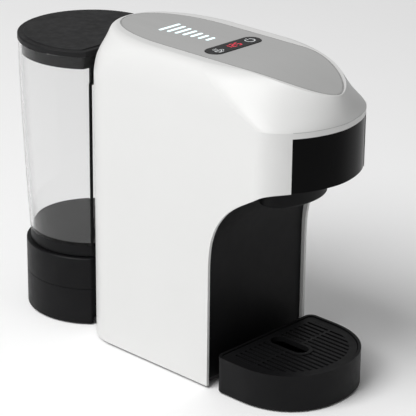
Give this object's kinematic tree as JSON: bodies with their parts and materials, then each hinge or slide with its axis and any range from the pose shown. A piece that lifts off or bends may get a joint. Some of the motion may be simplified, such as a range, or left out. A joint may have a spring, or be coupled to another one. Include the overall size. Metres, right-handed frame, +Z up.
{
  "type": "pod coffee machine",
  "caption": "Slim capsule coffee machine with a pull-out capsule drawer under a curved head, touch display on top, lift-off drip tray and clear rear water tank.",
  "frame": {"origin": "centre of the machine's footprint on the surface it stands on", "axes": "+X right seen from the front, +Y to the rear where the tank is, +Z up"},
  "size_m": [0.124, 0.3488, 0.27],
  "materials": {
    "white_shell": "satin white moulded plastic",
    "grey_panel": "silver grey satin",
    "light_trim": "satin",
    "display_black": "gloss",
    "light_bar": "lit translucent white",
    "black_satin": "fine satin texture",
    "black_lid": "fine spark texture",
    "gloss_black": "polished",
    "clear_plastic": "transparent, polished",
    "dark_plastic": "matt",
    "foot_rubber": "matt",
    "silicone": "matt translucent",
    "steel": "brushed",
    "zinc_steel": "zinc plated",
    "cast_aluminium": "as cast",
    "pump_metal": "moulded coil and barrel",
    "circuit_board": "solder mask"
  },
  "bodies": {
    "housing": {"main_housing": "white_shell", "top_panel": "grey_panel", "panel_trim": "light_trim", "display_window": "display_black", "display_module": "dark_plastic", "led_bars": "light_bar", "control_board": "circuit_board", "board_posts": "dark_plastic", "column_cover": "black_satin", "well_liner": "black_satin", "runner_left": "dark_plastic", "runner_right": "dark_plastic", "brew_head": "dark_plastic", "base_plate": "dark_plastic", "feet": "foot_rubber", "base_screws": "steel", "stand_lower": "black_satin", "stand_upper": "black_satin", "dock_port": "dark_plastic", "dock_seal": "silicone", "cord_gland": "dark_plastic", "water_pump": "pump_metal", "pump_mounts": "foot_rubber", "flow_meter": "dark_plastic", "feed_hose": "silicone", "pump_hose": "silicone", "pressure_hose": "silicone", "hot_hose": "silicone", "thermoblock": "cast_aluminium", "heater_bracket": "zinc_steel", "thermostat": "steel", "main_board": "circuit_board", "board_bracket": "dark_plastic"},
    "piston": {"brew_piston": "dark_plastic", "shower_screen": "steel", "piston_seal": "silicone"},
    "drawer": {"drawer_front": "gloss_black", "drawer_cradle": "dark_plastic", "drawer_apron": "black_satin", "outlet_ring": "black_satin", "pod_cup": "dark_plastic", "outlet_nozzle": "dark_plastic"},
    "tray": {"drip_tray": "black_satin"},
    "grille": {"drip_grille": "black_satin"},
    "tank": {"tank_body": "clear_plastic", "tank_base": "black_satin", "tank_filter": "dark_plastic"},
    "valve": {"valve_plunger": "dark_plastic", "valve_spring": "steel"},
    "lid": {"tank_lid": "black_lid", "lid_skirt": "black_lid"}
  },
  "joints": [
    {"name": "drawer_slide", "type": "slide", "parent": "housing", "child": "drawer", "axis": [0, -1, 0], "range_m": [0, 0.076]},
    {"name": "piston_lift", "type": "slide", "parent": "housing", "child": "piston", "axis": [0, 0, 1], "range_m": [0, 0.006]},
    {"name": "tray_slide", "type": "slide", "parent": "housing", "child": "tray", "axis": [0, -1, 0], "range_m": [0, 0.085]},
    {"name": "grille_lift", "type": "slide", "parent": "tray", "child": "grille", "axis": [0, 0, 1], "range_m": [0, 0.04]},
    {"name": "tank_lift", "type": "slide", "parent": "housing", "child": "tank", "axis": [0, 0, 1], "range_m": [0, 0.09]},
    {"name": "lid_lift", "type": "slide", "parent": "tank", "child": "lid", "axis": [0, 0, 1], "range_m": [0, 0.05]},
    {"name": "valve_stroke", "type": "slide", "parent": "tank", "child": "valve", "axis": [0, 0, 1], "range_m": [0, 0.0012], "stiffness_N_per_m": 80, "springref_m": -0.004, "deforming": ["valve_spring"]}
  ],
  "couplings": [
    {"joint": "piston_lift", "follows": "drawer_slide", "ratio": 0.0789}
  ]
}
